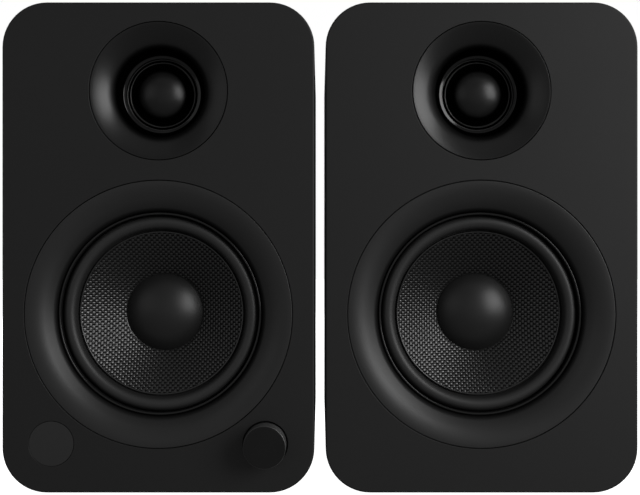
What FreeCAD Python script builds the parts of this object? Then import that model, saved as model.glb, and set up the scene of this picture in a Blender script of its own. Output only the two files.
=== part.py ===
"""A pair of small powered desktop speakers: an active one and the passive one it drives.

Frame: +X to the right, +Y to the back, +Z up, millimetres, both fronts facing -Y.
Each speaker is drawn once in its own coordinates: x from its middle, y as depth behind
the front of its baffle, z up from the underside of its cabinet. place() then moves it.
"""

import FreeCAD
import Part

import math
import os

from FreeCAD import Vector

# ---- driving dimensions ----------------------------------------------------------------

CABINET_W = 140.0
CABINET_H = 220.0
CABINET_D = 190.0
CABINET_R = 20.0  # corner radius, seen from the front
EDGE_R = 0.8  # broken edge around the baffle
WALL = 10.0
BAFFLE_T = 18.0
BACK_T = 10.0
REBATE = 5.0  # how far the back panel is let into the walls
GAP = 5.0  # between the two cabinets
FOOT_H = 2.0
FOOT_R = 6.0

WOOFER_Z = 80.0
TWEETER_Z = 180.3
CORNER_INSET = 22.0  # knob and sensor window, from the side and from the underside

TRIM_R = 60.0
TRIM_THROAT_R = 46.0
SEAT = 12.7  # depth of the face that the woofer's basket presents to its surround
CLAMP_R = 49.4  # outer edge of the surround, under the trim ring
ROLL_R = 41.5  # middle of the surround's half roll
ROLL_CROWN = 7.4
ROLL_HALF = 2.9
BEAD_CROWN = 5.8  # of the surround's bead, which stands along the trim ring's throat
TAB_BACK = 32.0  # the terminal tab on the basket's side
CONE_R = 37.6
CONE_DEPTH = 12.5
CONE_SLOPE = 0.644
CONE_T = 0.95
CAP_R = 17.8
CAP_HEIGHT = 7.0
COIL_R = 12.75
COIL_WIRE = 0.8
POLE_R = 12.25
TOP_PLATE_FRONT = 45.0
MAGNET_FRONT = 50.0
MAGNET_BACK = 64.0
YOKE_BACK = 69.0
FLANGE_R = 56.5
FLANGE_T = 1.8
WOOFER_HOLE_R = 50.6

GUIDE_R = 30.9
DOME_R = 12.5
DOME_DEPTH = 16.4
DOME_HEIGHT = 5.0
GUIDE_BODY_R = 26.8
GUIDE_RIM_T = 4.0
TWEETER_PLATE = 18.65
TWEETER_BACK = 37.0

KNOB_R = 9.45
KNOB_REACH = 11.5
WINDOW_R = 10.0
SHAFT_R = 3.0
SHAFT_FLAT = 2.4
SHAFT_FRONT = -7.4
SHAFT_BACK = 16.3

PORT_Z = 172.0
PORT_R = 16.0
PORT_FLARE = 10.0
PORT_LENGTH = 85.0

PLATE_W = 104.0
PLATE_H = 120.0
PLATE_Z = 14.0  # lower edge of the amplifier's plate
PLATE_T = 2.0
POST_REACH = 16.0
POST_SPACING = 19.0
POST_COLLAR_R = 5.6
POST_CAP_R = 5.2
STUD_R = 2.95
BANANA_R = 2.03
AMP_BOARD_BACK = 174.0
CROSSOVER_FRONT = 104.0
ROCKER_TILT = 12.0
ROCKER_R = 8.1

SCREW_R = 1.55
SCREW_LENGTH = 12.0
SCREW_HEAD_R = 3.2
SCREW_HEAD_H = 2.2
PILOT_R = SCREW_R + 0.05  # hole that a screw's thread bites into
CLEAR_R = SCREW_R + 0.2  # hole that a screw passes through
FIT = 0.3  # room around parts that are let in
RECESS_EDGE_R = 0.25  # broken edge round each hole in the baffle
BOARD_T = 1.6  # every circuit board

REACH = KNOB_REACH + CABINET_D + PLATE_T + POST_REACH
BAFFLE_Y = KNOB_REACH - REACH / 2
SIDE = (CABINET_W + GAP) / 2
ACTIVE = -1
PASSIVE = 1


# ---- helpers ---------------------------------------------------------------------------


def in_section(radius, depth):
    return Vector(radius, depth, 0)


def turned(start, *steps, at=(0.0, 0.0)):
    """A solid turned about a line along y through at = (x, z).

    The outline is given as (radius, depth). A step is its end, or (middle, end) of an arc.
    """
    edges = []
    here = in_section(*start)
    for step in steps:
        if isinstance(step[0], tuple):
            end = in_section(*step[1])
            edges.append(Part.Arc(here, in_section(*step[0]), end).toShape())
        else:
            end = in_section(*step)
            edges.append(Part.makeLine(here, end))
        here = end
    edges.append(Part.makeLine(here, in_section(*start)))
    solid = Part.Face(Part.Wire(edges)).revolve(Vector(), Vector(0, 1, 0), 360)
    solid.translate(Vector(at[0], 0, at[1]))
    return solid


def bend(start, radius, slope_from, slope_to):
    """Middle and end of an arc that runs inward and backward while its slope changes."""
    first = math.radians(slope_from)

    def point(slope):
        angle = math.radians(slope)
        inward = radius * (math.sin(angle) - math.sin(first))
        back = radius * (math.cos(first) - math.cos(angle))
        return (start[0] - inward, start[1] + back)

    return point((slope_from + slope_to) / 2), point(slope_to)


def disc(radius, front, back, x=0.0, z=0.0):
    return Part.makeCylinder(radius, back - front, Vector(x, front, z), Vector(0, 1, 0))


def tube(outer, inner, front, back, x=0.0, z=0.0):
    return disc(outer, front, back, x, z).cut(disc(inner, front - 1, back + 1, x, z))


def block(width, height, front, back, x=0.0, z=0.0):
    """Box centred on x and z, from the depth front to the depth back."""
    corner = Vector(x - width / 2, front, z - height / 2)
    return Part.makeBox(width, back - front, height, corner)


def along_x(radius, length, x, y, z):
    """A cylinder that runs to the right from x."""
    return Part.makeCylinder(radius, length, Vector(x, y, z), Vector(1, 0, 0))


def rounded(width, height, radius, front, back, x=0.0, z=0.0):
    """The same box with its four edges along the depth rounded."""
    solid = block(width, height, front, back, x, z)
    along = [e for e in solid.Edges if abs(e.tangentAt(e.FirstParameter).y) > 0.99]
    return solid.makeFillet(radius, along)


def cut_all(solid, tools):
    for tool in tools:
        solid = solid.cut(tool)
    return solid


def join_all(solids):
    joined = solids[0]
    for solid in solids[1:]:
        joined = joined.fuse(solid)
    return joined.removeSplitter()


def pan_screw(x, seat, z, toward_back=False):
    """A screw with its head on the depth seat and its tip behind, or before if toward_back."""
    head = Part.makeCylinder(SCREW_HEAD_R, SCREW_HEAD_H, Vector(), Vector(0, -1, 0))
    rim = [e for e in head.Edges if e.BoundBox.YMax < -SCREW_HEAD_H + 1e-6]
    head = head.makeFillet(0.9, rim)
    shank = Part.makeCylinder(SCREW_R, SCREW_LENGTH, Vector(), Vector(0, 1, 0))
    screw = head.fuse(shank)
    for width, height in ((3.4, 0.8), (0.8, 3.4)):
        screw = screw.cut(block(width, height, -2.3, -1.0))
    if toward_back:
        screw.rotate(Vector(), Vector(0, 0, 1), 180)
    screw.translate(Vector(x, seat, z))
    return screw


def lead(points, radius=0.8, corner=4.0):
    """A round wire along straight runs, its corners turned as tangent arcs."""
    corners = [Vector(*point) for point in points]
    edges = []
    here = corners[0]
    for before, apex, after in zip(corners, corners[1:], corners[2:]):
        arriving = (apex - before).normalize()
        leaving = (after - apex).normalize()
        half_turn = arriving.getAngle(leaving) / 2
        trim = corner * math.tan(half_turn)
        start = apex - arriving * trim
        end = apex + leaving * trim
        inward = (leaving - arriving).normalize()
        middle = apex + inward * corner * (1 / math.cos(half_turn) - 1)
        edges.append(Part.makeLine(here, start))
        edges.append(Part.Arc(start, middle, end).toShape())
        here = end
    edges.append(Part.makeLine(here, corners[-1]))
    path = Part.Wire(edges)
    direction = (corners[1] - corners[0]).normalize()
    section = Part.Wire(Part.makeCircle(radius, corners[0], direction))
    return path.makePipeShell([section], True, False)


def place(shape, side):
    """Moves a speaker's piece from its own coordinates to where that speaker stands."""
    placed = shape.copy()
    placed.translate(Vector(side * SIDE, BAFFLE_Y, FOOT_H))
    return placed


def write(node, shape):
    shape.exportStep(f"parts/{node}.step")


# ---- where things go -------------------------------------------------------------------

WOOFER = (0.0, WOOFER_Z)
TWEETER = (0.0, TWEETER_Z)
KNOB = (CABINET_W / 2 - CORNER_INSET, CORNER_INSET)
WINDOW = (-KNOB[0], CORNER_INSET)
PORT = (0.0, PORT_Z)
BACK_FRONT = CABINET_D - BACK_T

BACK_SCREWS = [(x, z) for x in (-60.5, 60.5) for z in (24.0, 80.0, 140.0, 196.0)]
BASKET_SCREW_CIRCLE = 53.0
BASKET_SCREWS = [
    (BASKET_SCREW_CIRCLE * math.cos(a), WOOFER_Z + BASKET_SCREW_CIRCLE * math.sin(a))
    for a in (math.radians(45 + 90 * i) for i in range(4))
]
PLATE_SCREWS = [(x, PLATE_Z + z) for x in (-47.5, 47.5) for z in (5.0, 60.0, 115.0)]
BOARD_SCREWS = [(x, 16.0) for x in (-28.0, 28.0)]
BOARD_FRONT = BAFFLE_T + 0.5
BOARD_BACK = BOARD_FRONT + BOARD_T
CUP_Z = 76.0
CUP_W = 64.0
CUP_DEPTH = 12.0
CUP_DISH_W = CUP_W - 14.0
CUP_WALL = 2.5
CUP_SCREWS = [(x, CUP_Z + z) for x in (-28.0, 28.0) for z in (-28.0, 28.0)]
POST_Z = PLATE_Z + 102.0
POST_MIDDLE = -28.0
PLATE_BACK = CABINET_D + PLATE_T
CUP_FLOOR = PLATE_BACK - CUP_DEPTH
SWITCH = (26.0, PLATE_Z + 20.0)
INLET = (-22.0, PLATE_Z + 20.0)
LINE_IN = [(20.0, POST_Z), (34.0, POST_Z)]
AUX = (27.0, POST_Z - 22.0)
STANDOFFS = [(x, PLATE_Z + z) for x in (-37.0, 37.0) for z in (42.0, 84.0)]
ACTIVE_POSTS = [(POST_MIDDLE + s * POST_SPACING / 2, POST_Z) for s in (-1, 1)]
PASSIVE_POSTS = [(s * POST_SPACING / 2, CUP_Z) for s in (-1, 1)]
ROCKER_Y = PLATE_BACK - 2.6
WOOFER_TAB = (-46.0, TAB_BACK, WOOFER_Z)
TWEETER_TAB = (8.0, TWEETER_BACK, TWEETER_Z)


# ---- cabinet and its panels ------------------------------------------------------------


def cabinet(is_active):
    """Box with a closed front; everything on the front is let into it."""
    shell = rounded(CABINET_W, CABINET_H, CABINET_R, 0, CABINET_D, z=CABINET_H / 2)
    shell = shell.makeFillet(EDGE_R, edges_on_baffle(shell))
    inner_r = CABINET_R - WALL
    room = rounded(
        CABINET_W - 2 * WALL,
        CABINET_H - 2 * WALL,
        inner_r,
        BAFFLE_T,
        CABINET_D + 1,
        z=CABINET_H / 2,
    )
    rebate = rounded(
        CABINET_W - 2 * WALL + 2 * REBATE,
        CABINET_H - 2 * WALL + 2 * REBATE,
        inner_r + REBATE,
        BACK_FRONT,
        CABINET_D + 1,
        z=CABINET_H / 2,
    )
    tools = [room, rebate, *woofer_cutout(), *tweeter_cutout()]
    for x, z in BASKET_SCREWS:
        tools.append(disc(PILOT_R, SEAT, BAFFLE_T + 1, x, z))
    for x, z in BACK_SCREWS:
        tools.append(disc(PILOT_R, BACK_FRONT - 5, BACK_FRONT + 1, x, z))
    if is_active:
        tools += controls_cutout()
    shell = cut_all(shell, tools)
    hole_rims = [e for e in edges_on_baffle(shell) if e.isClosed()]
    return shell.makeFillet(RECESS_EDGE_R, hole_rims)


def edges_on_baffle(shell):
    return [e for e in shell.Edges if e.BoundBox.YMax < 1e-6]


def woofer_cutout():
    return [
        disc(TRIM_R + FIT, -1, 3.2, *WOOFER),
        disc(FLANGE_R + 0.8, -1, SEAT + FLANGE_T, *WOOFER),
        disc(WOOFER_HOLE_R, -1, BAFFLE_T + 1, *WOOFER),
    ]


def tweeter_cutout():
    return [
        disc(GUIDE_R + FIT, -1, GUIDE_RIM_T + 0.1, *TWEETER),
        disc(GUIDE_BODY_R + 0.4, -1, BAFFLE_T + 1, *TWEETER),
    ]


def controls_cutout():
    """Seats of the knob and the window, and the pocket behind each of them."""
    pilots = [disc(PILOT_R, BAFFLE_T - 11, BAFFLE_T + 1, x, z) for x, z in BOARD_SCREWS]
    return pilots + [
        disc(KNOB_R + 0.65, -1, 5.0, *KNOB),
        disc(3.6, 4, BAFFLE_T, *KNOB),
        block(13.6, 13.6, 11.0, BAFFLE_T + 1, *KNOB),
        disc(WINDOW_R + 0.15, -1, 2.6, *WINDOW),
        disc(7.0, 2, BAFFLE_T + 1, *WINDOW),
    ]


def back_panel(is_active):
    """Board screwed into the rebate, with openings for the port and the connections."""
    width = CABINET_W - 2 * WALL + 2 * REBATE - FIT
    height = CABINET_H - 2 * WALL + 2 * REBATE - FIT
    radius = CABINET_R - WALL + REBATE - FIT / 2
    panel = rounded(width, height, radius, BACK_FRONT, CABINET_D, z=CABINET_H / 2)
    through = (BACK_FRONT - 1, CABINET_D + 1)
    tools = [disc(PORT_R + PORT_FLARE + FIT, *through, *PORT)]
    tools += [disc(CLEAR_R, *through, x, z) for x, z in BACK_SCREWS]
    if is_active:
        middle = PLATE_Z + PLATE_H / 2
        tools.append(block(PLATE_W - 18, PLATE_H - 18, *through, z=middle))
        tools += [disc(PILOT_R, *through, x, z) for x, z in PLATE_SCREWS]
    else:
        tools.append(block(CUP_DISH_W + 1, CUP_DISH_W + 1, *through, z=CUP_Z))
        tools += [disc(PILOT_R, *through, x, z) for x, z in CUP_SCREWS]
    return cut_all(panel, tools)


def feet():
    """Four round rubber pads under the cabinet."""
    pads = []
    for x in (-40, 40):
        for y in (20, CABINET_D - 20):
            pad = Part.makeCylinder(FOOT_R, FOOT_H, Vector(x, y, -FOOT_H))
            rim = [e for e in pad.Edges if e.BoundBox.ZMax < -FOOT_H + 1e-6]
            pads.append(pad.makeFillet(0.5, rim))
    return Part.makeCompound(pads)


def screws(is_active):
    """Every screw of one speaker: basket, back panel, and the plate or cup on it."""
    basket = [pan_screw(x, SEAT, z) for x, z in BASKET_SCREWS]
    back = [pan_screw(x, CABINET_D, z, True) for x, z in BACK_SCREWS]
    if is_active:
        back += [pan_screw(x, PLATE_BACK, z, True) for x, z in PLATE_SCREWS]
        back += [pan_screw(x, BOARD_BACK, z, True) for x, z in BOARD_SCREWS]
    else:
        back += [pan_screw(x, PLATE_BACK, z, True) for x, z in CUP_SCREWS]
    return Part.makeCompound(basket + back)


def port_tube():
    """Straight pipe with a wide rounded mouth and a flange let into the back panel."""
    mouth = PLATE_BACK
    bell = mouth - PORT_FLARE
    inner_end = CABINET_D - PORT_LENGTH
    wall = 2.0
    centre_r = PORT_R + PORT_FLARE
    slant = math.sqrt(0.5)
    inner_middle = (centre_r - PORT_FLARE * slant, bell + PORT_FLARE * slant)
    outer = PORT_FLARE - wall
    outer_middle = (centre_r - outer * slant, bell + outer * slant)
    return turned(
        (centre_r, mouth),
        (inner_middle, (PORT_R, bell)),
        (PORT_R, inner_end),
        (PORT_R + wall, inner_end),
        (PORT_R + wall, bell),
        (outer_middle, (centre_r, bell + outer)),
        (centre_r + 4.0, bell + outer),
        (centre_r + 4.0, mouth - 0.6),
        (centre_r + 3.4, mouth),
        at=PORT,
    )


def damping_pad():
    """Wadding along both side walls, behind the drivers."""
    thickness = 8.0
    offset = CABINET_W / 2 - WALL - thickness / 2 - 0.2
    return Part.makeCompound(
        [block(thickness, 150.0, 40.0, 150.0, x, 112.0) for x in (-offset, offset)]
    )


# ---- woofer ----------------------------------------------------------------------------


def trim_ring():
    """The bezel round the woofer: a trumpet from the baffle down to the surround."""
    rim = (TRIM_R, 0.0)
    upper = bend(rim, 17.0, 0, 30)
    throat_radius = 4.7
    throat_slope = 31.0
    lower_start_r = TRIM_THROAT_R + throat_radius * (1 - math.sin(math.radians(throat_slope)))
    straight = upper[1][0] - lower_start_r
    lower_start = (
        lower_start_r,
        upper[1][1] + straight * math.tan(math.radians(throat_slope)),
    )
    lower = bend(lower_start, throat_radius, throat_slope, 90)
    return turned(
        rim,
        upper,
        lower_start,
        lower,
        (TRIM_THROAT_R, SEAT - 0.95),
        (CLAMP_R + 0.1, SEAT - 0.95),
        (CLAMP_R + 0.1, 9.6),
        (57.0, 9.6),
        (57.0, 3.0),
        (TRIM_R, 3.0),
        at=WOOFER,
    )


def basket():
    """Pressed frame: flange, windowed cone, shelf for the spider, seat for the magnet."""
    frame = turned(
        (FLANGE_R, SEAT),
        (FLANGE_R, SEAT + FLANGE_T),
        (50.2, SEAT + FLANGE_T),
        (50.2, 17.0),
        (38.0, 36.0),
        (35.0, 38.0),
        (35.0, TOP_PLATE_FRONT),
        (16.0, TOP_PLATE_FRONT),
        (16.0, 43.0),
        (33.0, 43.0),
        (33.0, 37.8),
        (30.0, 37.8),
        (30.0, 36.0),
        (36.0, 36.0),
        (48.0, 16.5),
        (48.0, SEAT + FLANGE_T),
        (44.8, SEAT + FLANGE_T),
        (44.8, SEAT),
        at=WOOFER,
    )
    windows = []
    for i in range(6):
        window = rounded(22.0, 30.0, 5.0, 18.5, 33.5, z=45.0)
        window.rotate(Vector(), Vector(0, 1, 0), 60 * i)
        window.translate(Vector(0, 0, WOOFER_Z))
        windows.append(window)
    holes = [disc(CLEAR_R, SEAT - 1, SEAT + 3, x, z) for x, z in BASKET_SCREWS]
    tab = block(9.0, 12.0, TAB_BACK - 2.0, TAB_BACK, -45.0, WOOFER_Z)
    return join_all([cut_all(frame, windows + holes), tab])


def cone_front(radius):
    """Depth of the cone's front face at a radius."""
    return CONE_DEPTH + (CONE_R - radius) * CONE_SLOPE


def cone():
    neck = COIL_R + 0.65
    return turned(
        (CONE_R, cone_front(CONE_R)),
        (neck, cone_front(neck)),
        (neck, cone_front(neck) + CONE_T),
        (CONE_R, cone_front(CONE_R) + CONE_T),
        at=WOOFER,
    )


def domed_cap(radius, rim_depth, height, thickness, at):
    """A thin spherical cap whose crown faces the front."""
    sphere = (radius**2 + height**2) / (2 * height)
    centre = rim_depth - height + sphere

    def on_sphere(size, fraction):
        angle = math.asin(radius / sphere) * fraction
        return (size * math.sin(angle), centre - size * math.cos(angle))

    inner = sphere - thickness
    return turned(
        on_sphere(sphere, 0),
        (on_sphere(sphere, 0.5), on_sphere(sphere, 1)),
        on_sphere(inner, 1),
        (on_sphere(inner, 0.5), on_sphere(inner, 0)),
        at=at,
    )


def dust_cap():
    return domed_cap(CAP_R, cone_front(CAP_R) - 0.45, CAP_HEIGHT, 0.6, WOOFER)


def surround():
    """Rubber half roll with the bead that stands along the trim ring's throat."""
    middle = ROLL_CROWN + ROLL_HALF
    inner_half = ROLL_HALF - 0.8
    foot = CONE_R - 1.0
    foot_depth = cone_front(foot) + CONE_T + 0.25
    return turned(
        (CLAMP_R, SEAT - 0.05),
        (CLAMP_R, SEAT - 0.85),
        (45.9, SEAT - 0.85),
        (45.9, BEAD_CROWN + 0.5),
        ((45.4, BEAD_CROWN), (44.9, BEAD_CROWN + 0.5)),
        (44.9, SEAT - 0.6),
        (ROLL_R + ROLL_HALF, middle),
        ((ROLL_R, ROLL_CROWN), (ROLL_R - ROLL_HALF, middle)),
        (CONE_R + 0.5, cone_front(CONE_R) + CONE_T + 0.1),
        (foot, foot_depth),
        (foot, foot_depth + 0.7),
        (ROLL_R - ROLL_HALF, foot_depth + 0.1),
        (ROLL_R - inner_half, middle),
        ((ROLL_R, middle - inner_half), (ROLL_R + inner_half, middle)),
        (ROLL_R + inner_half, SEAT - 0.05),
        at=WOOFER,
    )


def spider():
    """Corrugated disc that centres the voice coil."""
    inner = COIL_R + 1.0
    outer = 30.4
    waves = 8
    pitch = (outer - inner) / waves
    height = 1.1
    thickness = 0.5
    rest = 35.4

    def corrugation(start_r, direction, depth):
        steps = []
        for i in range(waves):
            side = 1 if i % 2 == 0 else -1
            r0 = start_r + direction * pitch * i
            middle = (r0 + direction * pitch / 2, depth + side * height * direction)
            steps.append((middle, (r0 + direction * pitch, depth)))
        return steps

    return turned(
        (inner, rest),
        *corrugation(inner, 1, rest),
        (34.6, rest),
        (34.6, rest + thickness),
        (outer, rest + thickness),
        *corrugation(outer, -1, rest + thickness),
        at=WOOFER,
    )


def voice_coil():
    """Former with its winding; the winding overhangs the gap of the top plate."""
    return turned(
        (COIL_R, cone_front(COIL_R)),
        (COIL_R + 0.5, cone_front(COIL_R)),
        (COIL_R + 0.5, TOP_PLATE_FRONT - 2.5),
        (COIL_R + 0.5 + COIL_WIRE, TOP_PLATE_FRONT - 2.5),
        (COIL_R + 0.5 + COIL_WIRE, MAGNET_FRONT + 2.5),
        (COIL_R, MAGNET_FRONT + 2.5),
        at=WOOFER,
    )


def top_plate():
    return tube(38.0, 14.7, TOP_PLATE_FRONT, MAGNET_FRONT, *WOOFER)


def magnet():
    return tube(42.0, 18.0, MAGNET_FRONT, MAGNET_BACK, *WOOFER)


def yoke():
    """Back plate and pole piece in one, with the vent along its axis."""
    vent = 4.0
    return turned(
        (vent, TOP_PLATE_FRONT),
        (POLE_R - 0.6, TOP_PLATE_FRONT),
        (POLE_R, TOP_PLATE_FRONT + 0.6),
        (POLE_R, MAGNET_BACK),
        (38.0, MAGNET_BACK),
        (38.0, YOKE_BACK - 1.0),
        (37.0, YOKE_BACK),
        (vent, YOKE_BACK),
        at=WOOFER,
    )


# ---- tweeter ---------------------------------------------------------------------------


def waveguide():
    """Horn plate: shallow at the rim, nearly straight-sided at the throat."""
    rim = (GUIDE_R, 0.0)
    outer = bend(rim, 33.0, 18, 30)
    inner = bend(outer[1], 13.7, 30, 75)
    return turned(
        rim,
        outer,
        inner,
        (17.3, 14.5),
        (16.6, 16.6),
        (16.6, 18.6),
        (22.5, 18.6),
        (22.5, 12.0),
        (GUIDE_BODY_R, 7.0),
        (GUIDE_BODY_R, GUIDE_RIM_T),
        (GUIDE_R, GUIDE_RIM_T),
        at=TWEETER,
    )


def tweeter_motor():
    """Front plate with the clamping ring, magnet cup and pole, and the coil's gap."""
    return turned(
        (0.0, 20.2),
        (11.9, 20.2),
        (11.9, 28.0),
        (13.15, 28.0),
        (13.15, 20.7),
        (14.7, 20.7),
        (14.7, 16.6),
        (16.4, 16.6),
        (16.4, TWEETER_PLATE),
        (24.0, TWEETER_PLATE),
        (24.0, 21.0),
        (20.5, 21.0),
        (20.5, TWEETER_BACK - 1.0),
        (19.5, TWEETER_BACK),
        (0.0, TWEETER_BACK),
        at=TWEETER,
    )


def tweeter_dome():
    """Soft dome with its own small roll and the coil former behind it."""
    dome = domed_cap(DOME_R, DOME_DEPTH, DOME_HEIGHT, 0.45, TWEETER)
    former = tube(DOME_R + 0.25, DOME_R - 0.25, DOME_DEPTH + 0.05, 26.0, *TWEETER)
    roll_end = DOME_R + 1.8
    roll_middle = (DOME_R + roll_end) / 2
    roll = turned(
        (DOME_R - 0.2, DOME_DEPTH),
        ((roll_middle, DOME_DEPTH - 0.9), (roll_end, DOME_DEPTH)),
        (roll_end, DOME_DEPTH + 0.4),
        (DOME_R - 0.2, DOME_DEPTH + 0.4),
        at=TWEETER,
    )
    return join_all([dome, former, roll])


# ---- controls of the active speaker ----------------------------------------------------


def ir_window():
    return disc(WINDOW_R, 0.0, 2.5, *WINDOW)


def d_section(radius, flat, front, back):
    """A rod with one flat, along the knob's axis."""
    rod = disc(radius, front, back)
    beyond_flat = Vector(flat, front - 1, -2 * radius)
    rod = rod.cut(Part.makeBox(radius, back - front + 2, 4 * radius, beyond_flat))
    rod.translate(Vector(KNOB[0], 0, KNOB[1]))
    return rod


def volume_knob():
    shell = turned(
        (0.0, -KNOB_REACH),
        (KNOB_R - 1.0, -KNOB_REACH),
        ((KNOB_R - 0.3, -KNOB_REACH + 0.3), (KNOB_R, -KNOB_REACH + 1.0)),
        (KNOB_R, 3.8),
        (KNOB_R - 1.6, 3.8),
        (KNOB_R - 1.6, -KNOB_REACH + 3.2),
        (5.0, -KNOB_REACH + 3.2),
        (5.0, 2.0),
        (0.0, 2.0),
        at=KNOB,
    )
    return shell.cut(d_section(SHAFT_R + 0.02, SHAFT_FLAT + 0.02, SHAFT_FRONT - 0.1, 3.0))


def encoder_shaft():
    return d_section(SHAFT_R, SHAFT_FLAT, SHAFT_FRONT, SHAFT_BACK)


def encoder_rotor():
    """Detent disc that the flatted shaft turns and slides through."""
    wheel = disc(4.9, 13.2, 15.6, *KNOB)
    detents = 12
    notches = []
    for i in range(detents):
        angle = 2 * math.pi * i / detents
        x = KNOB[0] + 5.3 * math.cos(angle)
        z = KNOB[1] + 5.3 * math.sin(angle)
        notches.append(disc(0.8, 13.0, 16.0, x, z))
    hub = d_section(SHAFT_R + 0.05, SHAFT_FLAT + 0.05, 12.0, 17.0)
    return cut_all(wheel, [hub, *notches])


def encoder_body():
    housing = block(12.4, 12.4, 11.3, 18.4, *KNOB)
    bushing = disc(3.45, 6.0, 11.3, *KNOB)
    body = housing.fuse(bushing)
    body = body.cut(disc(5.2, 12.6, 17.4, *KNOB))
    return body.cut(disc(SHAFT_R + 0.1, 5.0, 13.0, *KNOB)).removeSplitter()


def control_board():
    """Strip behind the baffle that carries the encoder, the receiver and its lamp."""
    front = BOARD_FRONT
    board = block(112.0, 16.0, front, BOARD_BACK, z=20.0)
    holes = [disc(CLEAR_R, front - 1, BOARD_BACK + 1, x, z) for x, z in BOARD_SCREWS]
    board = cut_all(board, holes)
    receiver = rounded(6.0, 7.0, 1.0, front - 5.0, front, WINDOW[0] - 2.0, WINDOW[1])
    lamp = disc(1.5, front - 6.0, front, WINDOW[0] + 3.6, WINDOW[1])
    header = block(14.0, 5.0, BOARD_BACK, BOARD_BACK + 6.0, 0.0, 20.0)
    chip = block(9.0, 9.0, BOARD_BACK, BOARD_BACK + 1.4, -16.0, 20.0)
    return Part.makeCompound([board, encoder_body(), receiver, lamp, header, chip])


# ---- back of the active speaker --------------------------------------------------------


def amp_plate():
    """Aluminium plate that carries the sockets and takes the amplifier's heat."""
    plate = rounded(PLATE_W, PLATE_H, 4.0, CABINET_D, PLATE_BACK, z=PLATE_Z + PLATE_H / 2)
    through = (CABINET_D - 1, PLATE_BACK + 1)
    holes = [disc(CLEAR_R, *through, x, z) for x, z in PLATE_SCREWS]
    holes += [disc(STUD_R + 0.6, *through, x, z) for x, z in ACTIVE_POSTS]
    holes += [disc(4.6, *through, x, z) for x, z in LINE_IN]
    holes.append(disc(3.2, *through, *AUX))
    holes.append(block(13.4, 19.4, *through, *SWITCH))
    holes.append(block(27.4, 20.4, *through, *INLET))
    plate = cut_all(plate, holes)
    pillars = [disc(3.0, AMP_BOARD_BACK, CABINET_D, x, z) for x, z in STANDOFFS]
    return join_all([plate, *pillars])


def amp_board():
    """Amplifier board on the plate's pillars, with its tall parts facing the cabinet."""
    front = AMP_BOARD_BACK - BOARD_T
    board = block(84.0, 62.0, front, AMP_BOARD_BACK, z=PLATE_Z + 64.0)
    parts = [board]
    for x, z in ((-30.0, 70.0), (-12.0, 70.0)):
        parts.append(disc(8.0, front - 25.0, front, x, z))
    for x in (6.0, 20.0, 34.0):
        parts.append(rounded(11.0, 11.0, 2.0, front - 10.0, front, x, 72.0))
    parts.append(block(20.0, 14.0, AMP_BOARD_BACK, CABINET_D - 0.3, 0.0, 86.0))
    parts.append(block(24.0, 6.0, front - 9.0, front, 20.0, 98.0))
    parts.append(block(12.0, 6.0, front - 9.0, front, -20.0, 98.0))
    return Part.makeCompound(parts)


def transformer():
    """Mains transformer on the cabinet's floor: iron core, bobbin and mounting lugs."""
    middle_y = 128.0
    floor = WALL
    lugs = Part.makeBox(66.0, 34.0, 1.5, Vector(-33.0, middle_y - 17.0, floor))
    core = Part.makeBox(46.0, 22.0, 38.5, Vector(-23.0, middle_y - 11.0, floor + 1.5))
    bobbin = Part.makeBox(26.0, 42.0, 24.0, Vector(-13.0, middle_y - 21.0, floor + 9.0))
    upright = [e for e in bobbin.Edges if e.BoundBox.ZLength > 20]
    bobbin = bobbin.makeFillet(3.0, upright)
    body = join_all([lugs, core, bobbin])
    holes = [
        Part.makeCylinder(2.0, 4.0, Vector(x, middle_y, floor - 1)) for x in (-28.5, 28.5)
    ]
    return cut_all(body, holes)


def power_switch_frame():
    """Housing that the rocker tips in, with a hole in each cheek for its axle."""
    x, z = SWITCH
    flange = rounded(15.0, 21.0, 1.5, PLATE_BACK, PLATE_BACK + 1.8, x, z)
    housing = block(12.8, 18.8, PLATE_BACK - 16.0, PLATE_BACK, x, z)
    frame = flange.fuse(housing)
    room = block(10.6, 16.8, PLATE_BACK - 14.0, PLATE_BACK + 3, x, z)
    frame = frame.cut(room)
    bearing = along_x(1.08, 12.4, x - 6.2, ROCKER_Y, z)
    return frame.cut(bearing).removeSplitter()


def power_rocker():
    """Rocker that rests tipped to one stop; its ends are round about its own axle."""
    x, z = SWITCH
    width = 10.0
    ridge = 2.9
    rise = math.tan(math.radians(ROCKER_TILT)) * 10.0
    outline = [
        (ridge, 0.0),
        (ridge + rise, 10.0),
        (-4.5, 10.0),
        (-7.5, 0.0),
        (-4.5, -10.0),
        (ridge + rise, -10.0),
        (ridge, 0.0),
    ]
    points = [Vector(x - width / 2, ROCKER_Y + y, z + h) for y, h in outline]
    wedge = Part.Face(Part.makePolygon(points)).extrude(Vector(width, 0, 0))
    barrel = along_x(ROCKER_R, width, x - width / 2, ROCKER_Y, z)
    axle = along_x(1.0, width + 2.0, x - width / 2 - 1, ROCKER_Y, z)
    rocker = wedge.common(barrel).fuse(axle).removeSplitter()
    rocker.rotate(Vector(x, ROCKER_Y, z), Vector(1, 0, 0), ROCKER_TILT)
    return rocker


def ac_inlet():
    """Mains inlet for a detachable lead: shroud with three flat blades."""
    x, z = INLET
    flange = rounded(31.0, 24.0, 3.0, PLATE_BACK, PLATE_BACK + 2.5, x, z)
    housing = block(27.0, 20.0, PLATE_BACK - 20.0, PLATE_BACK, x, z)
    socket = block(24.4, 16.6, PLATE_BACK - 14.0, PLATE_BACK + 4, x, z)
    above = [e for e in socket.Edges if e.BoundBox.ZMin > z]
    upper_corners = [e for e in above if e.BoundBox.YLength > 1]
    socket = socket.makeChamfer(3.6, upper_corners)
    body = flange.fuse(housing).cut(socket)
    blades = [
        block(2.0, 4.0, PLATE_BACK - 14.5, PLATE_BACK - 4.0, x + dx, z + dz)
        for dx, dz in ((-7.0, 2.0), (0.0, -2.0), (7.0, 2.0))
    ]
    return join_all([body, *blades])


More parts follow.
